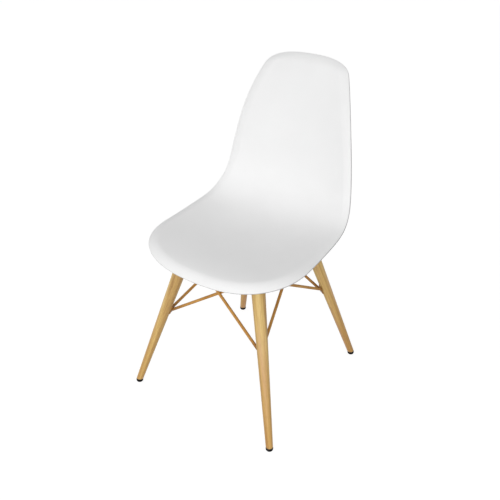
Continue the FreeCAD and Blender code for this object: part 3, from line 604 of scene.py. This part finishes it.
def wood_grain_group():
    """Growth bands, long streaks and pores of straight-grained wood; the grain runs along Z."""
    wood = new_group("wood_grain")
    wood.sockets([("Place", "Vector")],
                 [("Color", "Color"), ("Roughness", "Float"), ("Height", "Float")])
    place = wood.node("NodeGroupInput").outputs["Place"]

    def layer(scale, *settings):
        across, along = scale
        stretched = wood.node("ShaderNodeMapping", {"Vector": place,
                                                    "Scale": (across, across, along)})
        return wood.noise(stretched.outputs[0], 1.0, *settings)

    bands = layer(BAND_SCALE, 3.0, 0.5, 0.8)
    streaks = layer(STREAK_SCALE, 4.0, 0.65)
    pores = layer(PORE_SCALE, 1.0)
    tint = layer(TINT_SCALE, 1.0)
    figure = wood.math("ADD", wood.math("MULTIPLY", bands, BAND_SHARE),
                       wood.math("MULTIPLY", streaks, STREAK_SHARE))
    colour = wood.ramp(figure, WOOD_TONES)
    colour = wood.blend(wood.spread(tint, 0.50, 0.62, 0.0, 0.60), colour, ROSY_TONE)
    colour = wood.blend(wood.spread(streaks, 0.58, 0.68, 0.0, 0.45), colour, STREAK_TONE)
    low = wood.spread(wood.part_of(place, "Z"), FOOT_TONE_TOP, 0.0, 0.0, FOOT_TONE_SHARE)
    colour = wood.blend(low, colour, wood.blend(1.0, colour, FOOT_TONE, "MULTIPLY"))
    pitted = wood.spread(pores, 0.58, 0.70, 0.0, 1.0)
    wood.node("NodeGroupOutput", {
        "Color": wood.blend(wood.math("MULTIPLY", pitted, PORE_DARKNESS), colour, PORE_TONE),
        "Roughness": wood.spread(streaks, NOISE_LOW, NOISE_HIGH, *WOOD_ROUGHNESS),
        "Height": wood.math("SUBTRACT", wood.math("MULTIPLY", streaks, 0.5),
                            wood.math("MULTIPLY", pitted, 0.5))})
    return wood.tree


wood_grain = wood_grain_group()

# A dark line where the wood meets its glide, between these heights
JOINT_SHADE = (0.0108, 0.0096)
JOINT_COLOUR = (0.004, 0.004, 0.004)
GRAIN_BUMP = 0.25
GRAIN_DEPTH = 0.0003


def leg_finish(corner):
    """Light wood whose grain follows one leg."""
    foot, top = LEG_LINES[corner]
    turn = (top - foot).to_track_quat("Z", "Y")
    finish = new_material("lacquered_wood_" + corner)
    along_leg = finish.node("ShaderNodeMapping",
                            {"Vector": finish.object_place(), "Location": foot,
                             "Rotation": turn.to_euler()}, vector_type="TEXTURE")
    wood = finish.node("ShaderNodeGroup", {"Place": along_leg.outputs[0]},
                       node_tree=wood_grain).outputs
    joint = finish.spread(finish.part_of(finish.object_place(), "Z"), *JOINT_SHADE, 0.0, 1.0)
    return finish.surface({"Base Color": finish.blend(joint, wood["Color"], JOINT_COLOUR),
                           "Roughness": wood["Roughness"],
                           "Specular IOR Level": 0.35,
                           "Coat Weight": 0.05, "Coat Roughness": 0.3,
                           "Normal": finish.bump(wood["Height"], GRAIN_BUMP, GRAIN_DEPTH)})


# The white shell gets painted shade along its rim
white_shell = plastic_finish("white_shell_plastic", (0.90, 0.90, 0.90), (0.88, 0.88, 0.88),
                             0.50, 900.0, 0.12, specular=0.20, rim_shade=0.85)
black_glide = plastic_finish("black_glide_plastic", (0.003, 0.003, 0.003),
                             (0.006, 0.006, 0.006), 0.8, 1500.0, 0.3, specular=0.02)
black_pad = plastic_finish("black_pad_plastic", (0.020, 0.020, 0.020),
                           (0.035, 0.035, 0.035), 0.6, 1200.0, 0.4, specular=0.3)
# The rods get painted shade near the saddles
golden_rods = metal_finish("golden_painted_rods", (0.60, 0.310, 0.078), (0.46, 0.215, 0.045),
                           0.45, 0.0, 700.0, 0.15, specular=0.25, saddle_shade=0.6)
golden_frame = metal_finish("golden_painted_frame", (0.60, 0.310, 0.078), (0.50, 0.240, 0.052),
                            0.48, 0.0, 700.0, 0.2, specular=0.25)
plain_brass = metal_finish("brass_inserts", (0.72, 0.54, 0.25), (0.62, 0.45, 0.19),
                           0.3, 1.0, 400.0, 0.1)
zinc_steel = metal_finish("steel_fasteners", (0.62, 0.62, 0.60), (0.52, 0.52, 0.50),
                          0.32, 1.0, 500.0, 0.1)
STEEL_NODES = ("seat_bolts", "seat_washers", "leg_bolts", "leg_washers", "brace_screws",
               "glide_nails")


def dress(node_name, material):
    """Gives one piece its finish; its faces stay as they are."""
    node = nodes[node_name]
    for slot in node.material_slots:
        slot.material = material
    if not node.material_slots:
        node.data.materials.append(material)


for node_name in nodes:
    if node_name in STEEL_NODES:
        dress(node_name, zinc_steel)
    elif node_name.startswith("glide_"):
        dress(node_name, black_glide)
    elif node_name.startswith("seat_pad_"):
        dress(node_name, black_pad)
    elif "_brace_low_" in node_name or node_name.startswith("brace_saddle_"):
        dress(node_name, golden_rods)
    elif node_name.startswith(("arm_", "gusset_")) or node_name == "centre_plate":
        dress(node_name, golden_frame)
    elif node_name.endswith("_inserts"):
        dress(node_name, plain_brass)
for corner in CORNERS:
    dress("leg_" + corner, leg_finish(corner))

shell = new_piece("moulded_shell", shell_mesh(), white_shell)
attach(shell, "root")
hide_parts("seat_shell")


# ------------------------------------------------------- floor, light, camera

FLOOR_REACH = 12.0
# How pale the floor is to the light, and its shadow and its glow to the camera
FLOOR_TONE = 0.55
FLOOR_SHADOW = 0.25
FLOOR_GLOW = 0.87
# The room's soft light falls off towards the wall behind the chair
ROOM_LIGHT = 0.648
BEHIND_LOSS = 0.471
WHITE = (1.0, 1.0, 1.0, 1.0)


def looked_at(finish):
    """1 where the camera looks, straight, in a reflection or through glass; else 0."""
    path = finish.node("ShaderNodeLightPath").outputs
    return finish.math("MAXIMUM", path["Is Camera Ray"],
                       finish.math("MAXIMUM", path["Is Glossy Ray"],
                                   path["Is Transmission Ray"]))


def choose_shader(finish, unseen, seen):
    return finish.node("ShaderNodeMixShader", {"Fac": looked_at(finish), 1: unseen.outputs[0],
                                               2: seen.outputs[0]}).outputs[0]


def pale_ground():
    """A white floor that keeps a faint shadow and reads as white to the camera."""
    finish = new_material("pale_floor")
    plain, soft = (finish.node("ShaderNodeBsdfDiffuse", {"Color": opaque((tone,) * 3)})
                   for tone in (FLOOR_TONE, FLOOR_SHADOW))
    glow = finish.node("ShaderNodeEmission", {"Color": WHITE, "Strength": FLOOR_GLOW})
    bright = finish.node("ShaderNodeAddShader", {0: soft.outputs[0], 1: glow.outputs[0]})
    finish.node("ShaderNodeOutputMaterial", {"Surface": choose_shader(finish, plain, bright)})
    return finish.material


bm = bmesh.new()
bmesh.ops.create_grid(bm, x_segments=1, y_segments=1, size=FLOOR_REACH)
floor = new_piece("floor", bm, pale_ground(), smooth=False)


def light_room():
    """White to the camera; a soft light, weaker from behind, to everything else."""
    world = bpy.data.worlds.new("studio")
    bpy.context.scene.world = world
    world.use_nodes = True
    world.node_tree.nodes.clear()
    studio = Finish(world.node_tree)
    behind = studio.math("MAXIMUM", studio.part_of(studio.object_place(), "Y"), 0.0)
    room = studio.math("SUBTRACT", ROOM_LIGHT, studio.math("MULTIPLY", behind, BEHIND_LOSS))
    soft_light, white_back = (studio.node("ShaderNodeBackground",
                                          {"Color": WHITE, "Strength": strength})
                              for strength in (room, 1.0))
    studio.node("ShaderNodeOutputWorld",
                {"Surface": choose_shader(studio, soft_light, white_back)})


light_room()


def soft_box(name, place, aim, size, watts):
    lamp = bpy.data.lights.new(name, "AREA")
    lamp.shape = "SQUARE"
    lamp.size = size
    lamp.energy = watts
    held = bpy.data.objects.new(name, lamp)
    bpy.context.scene.collection.objects.link(held)
    held.location = place
    held.rotation_euler = (Vector(aim) - Vector(place)).to_track_quat("-Z", "Y").to_euler()


# Each lamp's place, aim, size and power
soft_box("front_soft_box", (0.9, -2.6, 1.1), (0.0, 0.0, 0.45), 2.0, 33.4)
soft_box("left_soft_box", (-2.0, -1.2, 0.5), (0.0, 0.0, 0.15), 0.8, 3.6)
soft_box("right_soft_box", (2.5, -1.3, 1.3), (0.0, 0.0, 0.45), 1.6, 5.5)

CAMERA_AZIMUTH = math.radians(35.99)
CAMERA_HEIGHT = math.radians(29.15)
CAMERA_DISTANCE = 1.65225
CAMERA_TARGET = Vector((0.0, -0.0148, 0.38034))
FOCAL_PIXELS = 657.46
PICTURE_PIXELS = 500
SENSOR_WIDTH = 36.0

lens = bpy.data.cameras.new("camera")
lens.sensor_fit = "HORIZONTAL"
lens.sensor_width = SENSOR_WIDTH
lens.lens = SENSOR_WIDTH * FOCAL_PIXELS / PICTURE_PIXELS
lens.clip_start = 0.05
lens.clip_end = 50.0
camera = bpy.data.objects.new("camera", lens)
bpy.context.scene.collection.objects.link(camera)
backward = Vector((math.sin(CAMERA_AZIMUTH) * math.cos(CAMERA_HEIGHT),
                   -math.cos(CAMERA_AZIMUTH) * math.cos(CAMERA_HEIGHT),
                   math.sin(CAMERA_HEIGHT)))
camera.location = CAMERA_TARGET + backward * CAMERA_DISTANCE
camera.rotation_euler = backward.to_track_quat("Z", "Y").to_euler()
bpy.context.scene.camera = camera
bpy.context.scene.view_settings.view_transform = "Standard"
